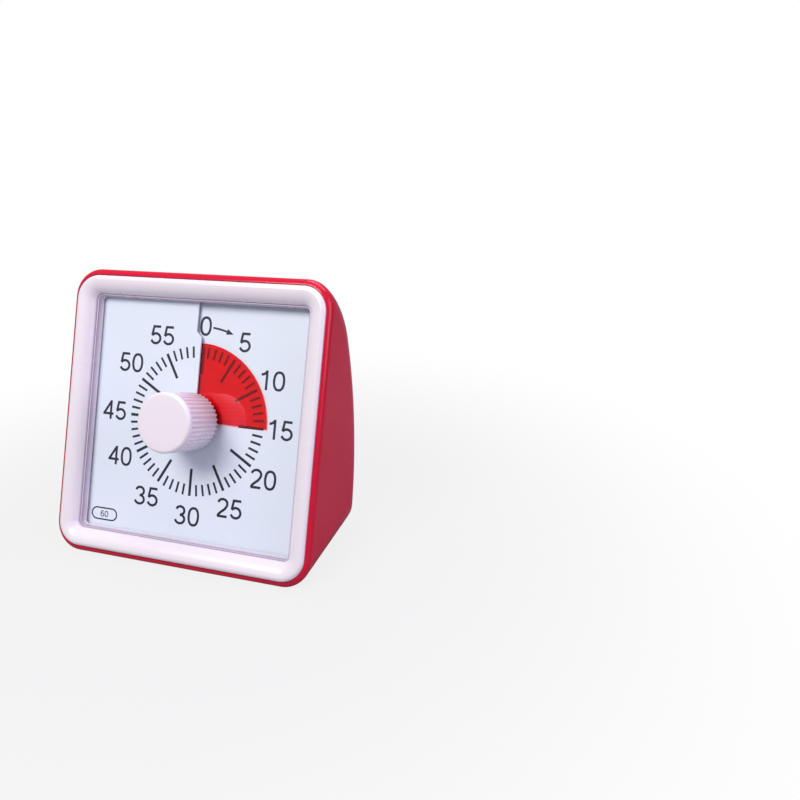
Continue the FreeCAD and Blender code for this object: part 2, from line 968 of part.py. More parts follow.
def movement_rear_case():
    high = carrier_back - case_split
    plate = case_rear + case_plate
    shell = case_shell(case_rear, high, plate, high + past)
    extra = [rod(rear_bush_radius, plate - bite, plate + rear_bush_height)]
    stator_back = stator_level - stator_thickness / 2
    for side in (1, -1):
        y = rotor_y + side * (stator_reach - stator_arm / 2)
        extra.append(rod(stator_post_radius, plate - bite, stator_back, rotor_x + core_offset, y))
    extra += [rod(board_post_radius, board_front, case_rear + bite, x, y) for x, y in board_post_places()]
    shell = joined([shell] + extra)
    shell = shell.cut(rod(arbor_radius + running_gap, case_rear - past, high))
    shell = with_holes(shell, case_screw_radius + screw_clear, case_rear - past, high + past,
                       column_places())
    shell = with_holes(shell, board_screw_radius, board_front - past, case_rear + blind_floor,
                       board_post_places())
    for pin in pin_rods():
        shell = shell.cut(pin)
    return to_world(shell)


def stator():
    low = stator_level - stator_thickness / 2
    high = low + stator_thickness
    left = rotor_x - stator_width / 2
    right = rotor_x + core_offset + core_width / 2
    low_y = rotor_y - stator_reach
    high_y = rotor_y + stator_reach
    body = joined([
        block(left, left + stator_width, low_y, high_y, low, high),
        block(left, right, low_y, low_y + stator_arm, low, high),
        block(left, right, high_y - stator_arm, high_y, low, high),
    ])
    hole = rod(magnet_radius + stator_air_gap, low - past, high + past, rotor_x, rotor_y)
    return to_world(body.cut(hole))


def coil_core():
    low = stator_level + stator_thickness / 2
    core = bar(core_width / 2, stator_reach, low, low + stator_thickness, rotor_x + core_offset, rotor_y)
    return to_world(core)


def coil():
    level = stator_level + stator_thickness
    x = rotor_x + core_offset
    start = rotor_y - coil_length / 2
    parts = [Part.makeCylinder(coil_radius, coil_length, V(x, start, level), V(0, 1, 0))]
    for y in (start, start + coil_length - flange_thickness):
        parts.append(Part.makeCylinder(coil_flange, flange_thickness, V(x, y, level), V(0, 1, 0)))
    half = stator_thickness / 2
    window = bar(core_width / 2, coil_length, level - half, level + half, x, rotor_y)
    return to_world(joined(parts).cut(window))


# Carrier: a plate with posts for the dial sheet, a frame round the clockwork, ribs and bosses

def dial_posts():
    post_x = lip_half_x - post_inset
    post_y = lip_half_y - post_inset
    posts = []
    for x in (post_x, 0, -post_x):
        for y in (post_y, 0, -post_y):
            if x or y:
                place = x if x else 2 * post_radius
                top = dial_back(place, y) - post_gap
                posts.append(rod(post_radius, carrier_level - bite, top, place, y))
    return posts


def carrier_ribs(half, low_y, high_y):
    low = carrier_back - rib_height
    high = carrier_back + bite
    inner = case_half + frame_gap
    outer = inner + rib_thickness
    frame = bar(outer, outer, low, high).cut(bar(inner, inner, low - past, high + past))
    ribs = [frame]
    thin = rib_thickness / 2
    for place in (-rib_place, rib_place):
        ribs.append(block(outer - bite, half - rib_end, place - thin, place + thin, low, high))
        ribs.append(block(rib_end - half, bite - outer, place - thin, place + thin, low, high))
        ribs.append(block(place - thin, place + thin, outer - bite, high_y - rib_end, low, high))
        ribs.append(block(place - thin, place + thin, low_y + rib_end, bite - outer, low, high))
    return ribs


def dial_carrier():
    half = bezel_half_x - carrier_inset
    low_y = carrier_low_inset - bezel_half_y
    high_y = bezel_half_y - carrier_inset
    plate = rounded_block(half, low_y, high_y, carrier_back, carrier_level, carrier_corner)
    bosses = [rod(carrier_boss, tower_foot, carrier_back + bite, x, y) for x, y in housing_screw_places()]
    body = joined([plate] + dial_posts() + bosses + carrier_ribs(half, low_y, high_y))
    body = body.cut(rod(carrier_hole, carrier_back - past, carrier_level + past))
    body = with_holes(body, shell_screw_radius, tower_foot - past, carrier_back + blind_floor,
                      housing_screw_places())
    body = with_holes(body, case_screw_radius + screw_clear, carrier_back - past, carrier_level + past,
                      corners_of(bezel_screw_x, bezel_screw_y))
    body = with_holes(body, case_screw_radius, carrier_back - past, carrier_level - blind_floor,
                      column_places())
    return to_world(body)


# Screws: a head towards the back and a shank that points to the front

def screw(radius, head_level, tip_level, x, y):
    head_radius = radius * head_factor
    rear = head_level - head_height
    head = rod(head_radius, rear, head_level, x, y)
    shank = rod(radius, head_level - bite, tip_level, x, y)
    slot = bar(head_radius + past, screw_slot_width / 2, rear - past, rear + screw_slot_depth, x, y)
    return joined([head, shank]).cut(slot)


def screws(radius, head_level, tip_level, places):
    return to_world(Part.makeCompound([screw(radius, head_level, tip_level, x, y) for x, y in places]))


def housing_screws():
    return screws(shell_screw_radius, tower_foot - tower_floor, carrier_back, housing_screw_places())


def bezel_screws():
    return screws(case_screw_radius, carrier_back, flange_seat - screw_tip_gap,
                  corners_of(bezel_screw_x, bezel_screw_y))


def movement_screws():
    return screws(case_screw_radius, case_rear, carrier_level - screw_tip_gap, column_places())


def board_screws():
    return screws(board_screw_radius, board_rear, case_rear, board_post_places())


# Board and its parts

def circuit_board():
    board = rounded_block(board_half_x, -board_half_y, board_half_y, board_rear, board_front, board_corner)
    return to_world(with_holes(board, board_screw_radius + screw_clear, board_rear - past,
                               board_front + past, board_post_places()))


def chip():
    sphere_radius = (chip_radius ** 2 + chip_height ** 2) / (2 * chip_height)
    ball = Part.makeSphere(sphere_radius, V(chip_x, chip_y, board_rear - chip_height + sphere_radius))
    room = bar(2 * chip_radius, 2 * chip_radius, board_rear - 2 * chip_height, board_rear, chip_x, chip_y)
    return to_world(ball.common(room))


def crystal():
    level = board_rear - crystal_radius
    can = along_x(crystal_radius, crystal_x, crystal_length, crystal_y, level)
    foot = bar(crystal_length / 3, crystal_foot, level, board_rear, crystal_x + crystal_length / 2, crystal_y)
    return to_world(joined([can, foot]))


def contact_leaf():
    low = cam_low + (cam_thickness - leaf_width) / 2
    high = low + leaf_width
    near_y = cam_lobe + leaf_gap
    far_y = near_y + leaf_thickness
    end = leaf_length - leaf_overhang
    strip = block(-leaf_overhang, end, near_y, far_y, low, high)
    foot = block(end - leaf_thickness, end, near_y, far_y + leaf_foot_height, board_front, high)
    pad = block(end - leaf_pad, end, near_y, far_y + leaf_foot_height, board_front,
                board_front + leaf_thickness)
    return to_world(joined([strip, foot, pad]))


# What sits on the back of the housing

def sound_switch():
    low = -wall - switch_knob_root
    half_y = switch_knob_y / 2
    head = bar(switch_knob_x / 2, half_y, low, switch_proud)
    ridges = [bar(switch_ridge / 2, half_y, switch_proud, switch_proud + switch_ridge_height,
                  index * switch_ridge_pitch)
              for index in (-1, 0, 1)]
    stem = bar(switch_stem_x / 2, switch_stem_y / 2, low - switch_stem_length, low)
    return on_back(joined([head, stem] + ridges), switch_place)


def switch_body():
    high = -wall - switch_body_gap
    low = high - switch_body_depth
    body = bar(switch_body_x, switch_body_y, low, high)
    track_x = switch_stem_x / 2 + switch_travel + switch_slot_gap
    track_y = switch_stem_y / 2 + switch_slot_gap
    body = body.cut(bar(track_x, track_y, high - switch_track_depth, high + past))
    pins = [bar(switch_pin_x / 2, switch_pin_y / 2, low - switch_pin_length, low + bite,
                index * switch_pin_pitch)
            for index in (-1, 0, 1)]
    return on_back(joined([body] + pins), switch_place)


def buzzer():
    high = -wall - buzzer_gap
    can = rod(buzzer_radius, high - buzzer_height, high)
    return on_back(can.cut(rod(buzzer_port_radius, high - buzzer_port_depth, high + past)), buzzer_place)


def battery():
    can = along_x(battery_radius, battery_start, battery_length, 0, battery_level)
    end = battery_start + battery_length
    nub = along_x(battery_nub, end - bite, battery_nub_length + bite, 0, battery_level)
    return on_back(joined([can, nub]), bay_place)


def contact_plate(start):
    return block(start, start + contact_thickness, -contact_half_width, contact_half_width,
                 -bay_depth, battery_level + contact_rise)


def battery_plate():
    start = battery_start + battery_length + battery_nub_length + contact_gap
    tab = block(start, bay_half_x, -contact_tab_half, contact_tab_half,
                -bay_depth, -bay_depth + contact_thickness)
    return on_back(joined([contact_plate(start), tab]), bay_place)


def spring_path(start_x, length):
    """Arcs of a quarter turn each, on a helix that narrows towards the battery."""
    quarters = 4 * spring_turns

    def point(share):
        radius = spring_radius - spring_taper * share
        y, rise = polar(radius, 360.0 * spring_turns * share)
        return V(start_x + length * share, y, battery_level + rise)

    edges = []
    for index in range(quarters):
        points = [point((index + step / 2) / quarters) for step in range(3)]
        edges.append(Part.Arc(points[0], points[1], points[2]).toShape())
    return Part.Wire(edges)


def least_gap(edges, wire):
    """Clear distance between stretches of the wire that lie half a turn or more apart."""
    samples = 12
    points = []
    for edge in edges:
        first, last = edge.ParameterRange
        points += [edge.valueAt(first + (last - first) * index / samples) for index in range(samples)]
    half_turn = 2 * samples
    distances = [
        (one - other).Length
        for index, one in enumerate(points)
        for other in points[index + half_turn:]
    ]
    return min(distances) - wire


def battery_spring():
    start_x = contact_thickness + spring_wire / 2 - bite - bay_half_x
    length = battery_start - spring_wire / 2 - contact_gap - start_x
    path = spring_path(start_x, length)
    first = path.Edges[0]
    section = Part.Wire(Part.makeCircle(spring_wire / 2, first.valueAt(first.FirstParameter),
                                        first.tangentAt(first.FirstParameter)))
    turns = path.makePipeShell([section], True, False)
    print("battery spring: least gap between turns", round(least_gap(path.Edges, spring_wire), 2), "mm")
    return on_back(contact_plate(-bay_half_x).fuse(turns), bay_place)


def battery_door():
    panel = on_back(door_block(0, -door_thickness, wall), bay_place).common(envelope())
    hooks = [on_back(bar(hook_width / 2, door_hook, hook_low, hook_high, side * hook_place, door_low_edge),
                     bay_place)
             for side in (1, -1)]
    grip_y = bay_half_y + door_margin - 1.5 * latch_slot
    grip = bar(latch_width / 2, latch_slot / 2, door_axis_level - latch_depth, wall, 0, grip_y)
    return joined([panel] + hooks).cut(on_back(grip, bay_place))


parts = {
    "housing": housing,
    "bezel": bezel,
    "dial_plate": dial_plate,
    "dial_carrier": dial_carrier,
    "time_disc": time_disc,
    "disc_hub": disc_hub,
    "knob": knob,
    "arbor": arbor,
    "zero_cam": zero_cam,
    "clutch_washer": clutch_washer,
    "centre_wheel": centre_wheel,
    "third_wheel": third_wheel,
    "second_wheel": second_wheel,
    "intermediate_wheel": intermediate_wheel,
    "rotor": rotor,
    "wheel_pins": wheel_pins,
    "stator": stator,
    "coil_core": coil_core,
    "coil": coil,
    "movement_front_case": movement_front_case,
    "movement_rear_case": movement_rear_case,
    "movement_screws": movement_screws,
    "circuit_board": circuit_board,
    "board_screws": board_screws,
    "chip": chip,
    "crystal": crystal,
    "contact_leaf": contact_leaf,
    "bezel_screws": bezel_screws,
    "housing_screws": housing_screws,
    "sound_switch": sound_switch,
    "switch_body": switch_body,
    "buzzer": buzzer,
    "battery": battery,
    "battery_spring": battery_spring,
    "battery_plate": battery_plate,
    "battery_door": battery_door,
}


def main():
    os.makedirs("parts", exist_ok=True)
    for name, build in parts.items():
        shape = build()
        shape.exportStep("parts/" + name + ".step")
        box = shape.BoundBox
        print(name, len(shape.Solids), "solids, valid", shape.isValid(), round(shape.Volume, 2), "mm3",
              [round(value, 1) for value in (box.XMin, box.YMin, box.ZMin, box.XMax, box.YMax, box.ZMax)])


main()
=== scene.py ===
# %% [markdown]
# A desk timer that shows the time left as a red sector.
# The solids of the timer come ready made in a frame. This lesson dresses them: it gives every
# piece the surface of its real material, adds the printing on the dial, rebuilds the knob with
# softer ribs, and sets up a small photo studio round it.

# %% Load the frame
import bmesh
import bpy
import json
import math
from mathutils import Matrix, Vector


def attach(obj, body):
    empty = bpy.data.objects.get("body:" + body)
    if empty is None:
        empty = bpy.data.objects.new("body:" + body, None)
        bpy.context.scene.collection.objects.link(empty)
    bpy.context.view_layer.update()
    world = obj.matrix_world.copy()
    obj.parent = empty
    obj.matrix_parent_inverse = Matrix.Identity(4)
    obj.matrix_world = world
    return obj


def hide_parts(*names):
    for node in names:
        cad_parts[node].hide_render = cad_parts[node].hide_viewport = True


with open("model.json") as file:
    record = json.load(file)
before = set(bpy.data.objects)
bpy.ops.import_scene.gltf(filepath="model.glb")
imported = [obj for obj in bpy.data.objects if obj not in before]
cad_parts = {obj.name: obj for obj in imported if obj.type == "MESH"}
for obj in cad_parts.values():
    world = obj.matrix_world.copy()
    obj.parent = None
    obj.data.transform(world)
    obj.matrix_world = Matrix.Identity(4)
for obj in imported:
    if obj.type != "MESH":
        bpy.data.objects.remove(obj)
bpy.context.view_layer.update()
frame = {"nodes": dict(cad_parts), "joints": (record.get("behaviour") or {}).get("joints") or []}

# %% [markdown]
# The dial leans back, so it has a frame of its own: x to the right, y up the face and z out
# towards the viewer, in millimetres from the middle of the dial. The knob's joint in the record
# says where that middle is and which way the dial looks, so nothing is typed in twice.

# %% The dial's own frame
joints = {joint["name"]: joint for joint in frame["joints"]}
dial_centre = Vector(joints["knob_turn"]["pos_m"])
dial_out = -Vector(joints["knob_turn"]["axis"]).normalized()
dial_right = Vector((1, 0, 0))
dial_up = dial_out.cross(dial_right)


def on_dial(x, y, z):
    return dial_centre + (dial_right * x + dial_up * y + dial_out * z) / 1000


def dial_span(name):
    """Lowest and highest level of a solid over the dial, and its greatest radius, in millimetres."""
    places = [(vertex.co - dial_centre) * 1000 for vertex in frame["nodes"][name].data.vertices]
    levels = [place.dot(dial_out) for place in places]
    radii = [math.hypot(place.dot(dial_right), place.dot(dial_up)) for place in places]
    return min(levels), max(levels), max(radii)


lean = math.degrees(math.asin(dial_out.z))
print("the dial leans back", round(lean, 1), "degrees")

# %% [markdown]
# Colours are easiest to read as sRGB hex values, as a picture editor shows them. Blender's
# shaders calculate in linear light, so one function turns a hex value into linear numbers.


# %% Colour from hex
def linear(hex_value):
    channels = []
    for place in (0, 2, 4):
        share = int(hex_value[place:place + 2], 16) / 255
        channels.append(share / 12.92 if share <= 0.04045 else ((share + 0.055) / 1.055) ** 2.4)
    return channels[0], channels[1], channels[2], 1.0


# %% [markdown]
# A material is a small graph. One helper adds a node, sets its inputs and properties and links
# it, which keeps every material below down to the few lines that matter. Patterns are sized in
# millimetres: a noise texture repeats about once per unit, and the unit here is the metre.


# %% A helper for nodes
def add(tree, kind, inputs=None, links=None, **settings):
    made = tree.nodes.new(kind)
    for name, value in settings.items():
        setattr(made, name, value)
    for name, value in (inputs or {}).items():
        made.inputs[name].default_value = value
    for name, (source, socket) in (links or {}).items():
        tree.links.new(source.outputs[socket], made.inputs[name])
    return made


def per_metre(millimetres):
    return 1000.0 / millimetres


# %% [markdown]
# Most of the timer is moulded plastic. What tells the eye so is a clear highlight that is not
# quite perfect: the mould's polish leaves faint waves some millimetres long, and handling leaves
# patches that are a little duller. One function makes that surface, and each plastic gives it its
# own two close shades, its gloss and the size and height of its waves, in millimetres. The red's
# IOR is below the 1.54 of ABS: it was matched to thin the pale veil on the timer's side.

# %% Moulded surface
patch_size = 18.0
noise_low = 0.35
noise_high = 0.65
gloss_low = 0.85
gloss_high = 1.2
wave_strength = 0.4


def moulded(name, shade, other_shade, roughness, ior, wave, wave_height):
    made = bpy.data.materials.new(name)
    made.use_nodes = True
    tree = made.node_tree
    shader = tree.nodes["Principled BSDF"]
    shader.inputs["IOR"].default_value = ior
    coords = add(tree, "ShaderNodeTexCoord")
    patches = add(tree, "ShaderNodeTexNoise", {"Scale": per_metre(patch_size), "Detail": 3.0},
                  {"Vector": (coords, "Object")})
    shades = add(tree, "ShaderNodeMix", {"A": linear(shade), "B": linear(other_shade)},
                 {"Factor": (patches, "Fac")}, data_type="RGBA")
    gloss = add(tree, "ShaderNodeMapRange",
                {"From Min": noise_low, "From Max": noise_high,
                 "To Min": roughness * gloss_low, "To Max": roughness * gloss_high},
                {"Value": (patches, "Fac")})
    waves = add(tree, "ShaderNodeTexNoise", {"Scale": per_metre(wave), "Detail": 2.0},
                {"Vector": (coords, "Object")})
    bump = add(tree, "ShaderNodeBump", {"Strength": wave_strength, "Distance": wave_height / 1000},
               {"Height": (waves, "Fac")})
    tree.links.new(shades.outputs["Result"], shader.inputs["Base Color"])
    tree.links.new(gloss.outputs["Result"], shader.inputs["Roughness"])
    tree.links.new(bump.outputs["Normal"], shader.inputs["Normal"])
    return made


materials = {
    "red_abs": moulded("ABS moulded, red", "D40D34", "CA0B31", 0.2, 1.4, 12.0, 0.008),
    "white_abs": moulded("ABS moulded, pearl white", "EEE9F1", "EAE4ED", 0.24, 1.54, 14.0, 0.005),
    "black_abs": moulded("ABS moulded, black", "1B1B1E", "232326", 0.35, 1.54, 1.0, 0.02),
    "pale_abs": moulded("ABS moulded, unpainted", "D9D9DC", "D2D2D6", 0.42, 1.54, 1.2, 0.03),
    "grey_abs": moulded("ABS moulded, dark grey", "3C3E43", "45474C", 0.45, 1.54, 0.8, 0.03),
    "acetal": moulded("Acetal moulded, natural", "E4E0D2", "DCD8C9", 0.38, 1.48, 0.8, 0.02),
    "card": moulded("PVC card, printed white", "E2EDFA", "DDE9F8", 0.4, 1.53, 0.6, 0.004),
    "ink": moulded("Screen printing ink, slate", "161D30", "1C2439", 0.5, 1.5, 0.4, 0.004),
    "epoxy": moulded("Epoxy drop, black", "141416", "1C1C1E", 0.25, 1.55, 2.0, 0.03),
    "solder_mask": moulded("Glass laminate, green lacquer", "175C32", "1C6A3A", 0.3, 1.55, 0.5, 0.01),
    "copper_wire": moulded("Copper wire, enamelled", "9A4E22", "B05C2A", 0.3, 1.5, 0.2, 0.05),
    "ferrite": moulded("Ferrite magnet, sintered", "2C2C2E", "363638", 0.55, 1.6, 0.4, 0.03),
    "sleeve": moulded("Battery sleeve, shrunk PVC", "25272E", "2D3038", 0.22, 1.53, 4.0, 0.03),
}
print("plastics:", len(materials))

# %% [markdown]
# Metals have no colour of their own under the highlight: the highlight is the colour. Small
# pressed and turned parts show fine lines from the tool, which stretch the highlight across them.

# %% Metal surface
line_stretch = 12.0
line_depth = 0.01


def drawn_metal(name, shade, roughness, line):
    made = bpy.data.materials.new(name)
    made.use_nodes = True
    tree = made.node_tree
    shader = tree.nodes["Principled BSDF"]
    shader.inputs["Base Color"].default_value = linear(shade)
    shader.inputs["Metallic"].default_value = 1.0
    coords = add(tree, "ShaderNodeTexCoord")
    stretch = add(tree, "ShaderNodeMapping", {"Scale": (1.0, 1.0, line_stretch)},
                  {"Vector": (coords, "Object")})
    lines = add(tree, "ShaderNodeTexNoise", {"Scale": per_metre(line * line_stretch), "Detail": 4.0},
                {"Vector": (stretch, "Vector")})
    gloss = add(tree, "ShaderNodeMapRange", {"To Min": roughness * 0.7, "To Max": roughness * 1.3},
                {"Value": (lines, "Fac")})
    bump = add(tree, "ShaderNodeBump", {"Strength": 0.3, "Distance": line_depth / 1000},
               {"Height": (lines, "Fac")})
    tree.links.new(gloss.outputs["Result"], shader.inputs["Roughness"])
    tree.links.new(bump.outputs["Normal"], shader.inputs["Normal"])
    return made


metals = {
    "zinc_steel": drawn_metal("Steel, zinc plated", "BFC2C6", 0.3, 0.3),
    "nickel_steel": drawn_metal("Spring steel, nickel plated", "D2CEC6", 0.2, 0.2),
    "lamination": drawn_metal("Electrical steel, stamped", "9DA0A4", 0.4, 0.2),
    "brass": drawn_metal("Brass strip, rolled", "D9B15E", 0.3, 0.2),
}
materials.update(metals)
print("metals:", len(metals))

# %% [markdown]
# The frame round the dial is the same pearl white, but two fine lines of painted shade run round its
# window, one close to the edge and one a little further out. They stand for the shade in two grooves a
# few tenths of a millimetre wide, too narrow for the solid: such grooves look thin and violet because
# light reaches their floor only after it has met both walls. Here the lines are drawn by a distance: how
# far a point lies outside the window's rounded outline, worked out from its place on the dial. Where that
# distance is nearly a line's, the base colour is painted darker.

# %% Painted groove shade on the frame
window_half_x = 57.5
window_half_y = 58.0
window_corner = 2.3
crease_shade_distance = 0.7
edge_shade_distance = 0.05
shade_line_half = 0.34


def with_painted_groove_shade(name, base, shade):
    made = base.copy()
    made.name = name
    tree = made.node_tree
    shader = tree.nodes["Principled BSDF"]
    coords = add(tree, "ShaderNodeTexCoord")
    place = add(tree, "ShaderNodeVectorMath", {1: dial_centre}, {0: (coords, "Object")},
                operation="SUBTRACT")
    across = add(tree, "ShaderNodeVectorMath", {1: dial_right}, {0: (place, "Vector")},
                 operation="DOT_PRODUCT")
    along = add(tree, "ShaderNodeVectorMath", {1: dial_up}, {0: (place, "Vector")},
                operation="DOT_PRODUCT")
    flat = add(tree, "ShaderNodeCombineXYZ", None, {"X": (across, "Value"), "Y": (along, "Value")})
    quarter = add(tree, "ShaderNodeVectorMath", None, {0: (flat, "Vector")}, operation="ABSOLUTE")
    straight = [(half - window_corner) / 1000 for half in (window_half_x, window_half_y)]
    past = add(tree, "ShaderNodeVectorMath", {1: straight + [0.0]}, {0: (quarter, "Vector")},
               operation="SUBTRACT")
    corner = add(tree, "ShaderNodeVectorMath", {1: (0.0, 0.0, 0.0)}, {0: (past, "Vector")},
                 operation="MAXIMUM")
    outside = add(tree, "ShaderNodeVectorMath", None, {0: (corner, "Vector")}, operation="LENGTH")
    shade_dips = []
    for distance in (crease_shade_distance, edge_shade_distance):
        away = add(tree, "ShaderNodeMath", {1: (window_corner + distance) / 1000},
                   {0: (outside, "Value")}, operation="SUBTRACT")
        gap = add(tree, "ShaderNodeMath", None, {0: (away, "Value")}, operation="ABSOLUTE")
        shade_dips.append(add(tree, "ShaderNodeMapRange",
                        {"From Min": 0.0, "From Max": shade_line_half / 1000, "To Min": 1.0, "To Max": 0.0},
                        {"Value": (gap, "Value")}))
    darkest_shade = add(tree, "ShaderNodeMath", None, {0: (shade_dips[0], "Result"), 1: (shade_dips[1], "Result")},
                  operation="MAXIMUM")
    # Painted shade: along the two lines the base colour is mixed towards a dark violet.
    plain = shader.inputs["Base Color"].links[0].from_socket
    shaded = add(tree, "ShaderNodeMix", {"B": linear(shade)}, {"Factor": (darkest_shade, "Value")},
                 data_type="RGBA")
    tree.links.new(plain, shaded.inputs["A"])
    tree.links.new(shaded.outputs["Result"], shader.inputs["Base Color"])
    return made


# The frame's pearl white, with the two lines of painted shade round the window.
materials["frame_abs_painted_shade"] = with_painted_groove_shade("ABS moulded, pearl white, painted groove shade", materials["white_abs"], "9C84A6")
print("groove lines at", crease_shade_distance, "and", edge_shade_distance, "mm outside the window")

# %% [markdown]
# The red sector is a film, a fraction of a millimetre of clear polyester with a red dye in it.
# The marks under it show through, darker, and its gloss mirrors the knob. It is glass with a low
# roughness for the eye, and a thin clear coat makes the mirror image stronger. For the rays that
# look for a lamp it is a plain red window, because a lamp has to light the dial under the film, and
# light bent through glass hardly ever finds a lamp.


# %% Dyed film
def dyed_film(name, shade, window_shade, roughness, wave):
    made = bpy.data.materials.new(name)
    made.use_nodes = True
    tree = made.node_tree
    shader = tree.nodes["Principled BSDF"]
    shader.inputs["Base Color"].default_value = linear(shade)
    shader.inputs["Roughness"].default_value = roughness
    shader.inputs["IOR"].default_value = 1.58
    shader.inputs["Transmission Weight"].default_value = 0.9
    shader.inputs["Coat Weight"].default_value = 0.45
    shader.inputs["Coat Roughness"].default_value = 0.03
    coords = add(tree, "ShaderNodeTexCoord")
    waves = add(tree, "ShaderNodeTexNoise", {"Scale": per_metre(wave), "Detail": 1.0},
                {"Vector": (coords, "Object")})
    bump = add(tree, "ShaderNodeBump", {"Strength": 0.3, "Distance": 0.0001}, {"Height": (waves, "Fac")})
    tree.links.new(bump.outputs["Normal"], shader.inputs["Normal"])
    window = add(tree, "ShaderNodeBsdfTransparent", {"Color": linear(window_shade)})
    path = add(tree, "ShaderNodeLightPath")
    blend = add(tree, "ShaderNodeMixShader", None,
                {0: (path, "Is Shadow Ray"), 1: (shader, "BSDF"), 2: (window, "BSDF")})
    tree.links.new(blend.outputs["Shader"], tree.nodes["Material Output"].inputs["Surface"])
    return made


materials["film"] = dyed_film("Polyester film, dyed red", "E21A2E", "EA3A48", 0.04, 25.0)
print("film:", materials["film"].name)

# %% [markdown]
# Every solid of the frame gets its material from one list, read as a parts list: which piece is
# made of what. What a solid came with is cleared away first, so that only its own material is left.

# %% Hand out the materials
made_of = {
    "red_abs": ["housing", "battery_door"],
    "white_abs": ["knob", "disc_hub"],
    "frame_abs_painted_shade": ["bezel"],
    "black_abs": ["sound_switch", "switch_body", "buzzer"],
    "pale_abs": ["dial_carrier"],
    "grey_abs": ["movement_front_case", "movement_rear_case"],
    "acetal": ["centre_wheel", "third_wheel", "second_wheel", "intermediate_wheel", "zero_cam"],
    "card": ["dial_plate"],
    "film": ["time_disc"],
    "epoxy": ["chip"],
    "solder_mask": ["circuit_board"],
    "copper_wire": ["coil"],
    "ferrite": ["rotor"],
    "sleeve": ["battery"],
    "zinc_steel": ["arbor", "clutch_washer", "wheel_pins", "movement_screws", "board_screws",
                   "bezel_screws", "housing_screws", "crystal"],
    "nickel_steel": ["battery_spring", "battery_plate"],
    "lamination": ["stator", "coil_core"],
    "brass": ["contact_leaf"],
}


def wear(piece, key):
    piece.data.materials.clear()
    piece.data.materials.append(materials[key])


for key, names in made_of.items():
    for name in names:
        wear(frame["nodes"][name], key)
dressed = sum(len(names) for names in made_of.values())
print("dressed", dressed, "of", len(frame["nodes"]), "solids")

# %% [markdown]
# The dial is not flat: it winds once round the knob like a very shallow spiral stair, so the film
# can slip from behind it to its front at the slit. Printing has to follow that surface. The rise
# is worked out from the record: in one turn of the knob the film creeps forward by one step of the
# dial. Above its shoulder the slit is set back to the left, and there the sheet behind it shows.


# %% The height of the dial
def dial_step():
    creep = joints["disc_creep"]["range_m"]
    turn = joints["knob_turn"]["range_deg"]
    return (creep[1] - creep[0]) * 1000 * 360 / (turn[1] - turn[0])


sheet_step = round(dial_step(), 1)
slit_width = 2.8
slit_shoulder = 41.0


def dial_height(x, y):
    in_notch = -slit_width < x < 0 and y > slit_shoulder
    clockwise = 0 if in_notch else math.degrees(math.atan2(x, y)) % 360
    return sheet_step * clockwise / 360


print("the dial rises", sheet_step, "mm in one turn")

# %% [markdown]
# Printing is ink a few hundredths of a millimetre thick. It is drawn here as real, very thin
# plates, because a shape stays sharp at any distance where a picture of it would not. Marks, line
# figures and frames are all strokes of one kind: a line down the middle and a width. So one
# function lays a ribbon along a line, in millimetres on the dial, and sets every point down on it.

# %% A helper for printed strokes
ink_lift = 0.02
ink_thickness = 0.03
mitre_limit = 0.5


def stroke_sides(points, widths, closed):
    """Left and right points of a stroke, square to the line, mitred where it turns."""
    sides = []
    last = len(points) - 1
    for index, (x, y) in enumerate(points):
        before = points[index - 1] if index or closed else points[index]
        after = points[(index + 1) % len(points)] if index < last or closed else points[index]
        into = Vector((x - before[0], y - before[1])).normalized()
        out = Vector((after[0] - x, after[1] - y)).normalized()
        way = (into + out).normalized()
        mitre = max(way.dot(out if out.length else into), mitre_limit)
        reach = widths[index] / 2 / mitre
        sides.append(((x - way.y * reach, y + way.x * reach), (x + way.y * reach, y - way.x * reach)))
    return sides


def ribbon(mesh, points, width, closed=False):
    """A thin plate along a line; width is one number or one for each point."""
    widths = width if isinstance(width, list) else [width] * len(points)
    rows = []
    for left, right in stroke_sides(points, widths, closed):
        row = []
        for (x, y), lift in ((left, 0), (right, 0), (right, ink_thickness), (left, ink_thickness)):
            row.append(mesh.verts.new(on_dial(x, y, dial_height(x, y) + ink_lift + lift)))
        rows.append(row)
    pairs = list(zip(rows, rows[1:]))
    if closed:
        pairs.append((rows[-1], rows[0]))
    for row, follow in pairs:
        for corner in range(4):
            other = (corner + 1) % 4
            mesh.faces.new((row[corner], row[other], follow[other], follow[corner]))
    if not closed:
        mesh.faces.new(rows[0])
        mesh.faces.new(list(reversed(rows[-1])))


def finish_mesh(name, mesh, key="ink", body="housing"):
    bmesh.ops.recalc_face_normals(mesh, faces=mesh.faces)
    data = bpy.data.meshes.new(name)
    mesh.to_mesh(data)
    mesh.free()
    piece = bpy.data.objects.new(name, data)
    bpy.context.scene.collection.objects.link(piece)
    wear(piece, key)
    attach(piece, body)
    return piece


# %% [markdown]
# Sixty minute marks stand on a circle, and every fifth is longer and a little bolder. A mark is a
# short stroke that points at the middle of the dial. The mark for nought stands just right of the
# slit, so that it is printed on one sheet and not across the gap.

# %% Minute marks
minutes = 60
minutes_per_number = 5
mark_radius = 36.5
short_mark = 5.5
long_mark = 13.3
short_width = 1.1
long_width = 1.4
zero_shift = 0.75


def turned(radius, across, minute):
    turn = math.radians(minute * 360 / minutes)
    x = radius * math.sin(turn) + across * math.cos(turn)
    y = radius * math.cos(turn) - across * math.sin(turn)
    return x, y


mesh = bmesh.new()
for minute in range(minutes):
    long = minute % minutes_per_number == 0
    inner = mark_radius - (long_mark if long else short_mark)
    across = 0 if minute else zero_shift
    ends = [turned(inner, across, minute), turned(mark_radius, across, minute)]
    ribbon(mesh, ends, long_width if long else short_width)
minute_marks = finish_mesh("minute_marks", mesh)
print("minute marks:", minutes, "with", len(minute_marks.data.polygons), "faces")

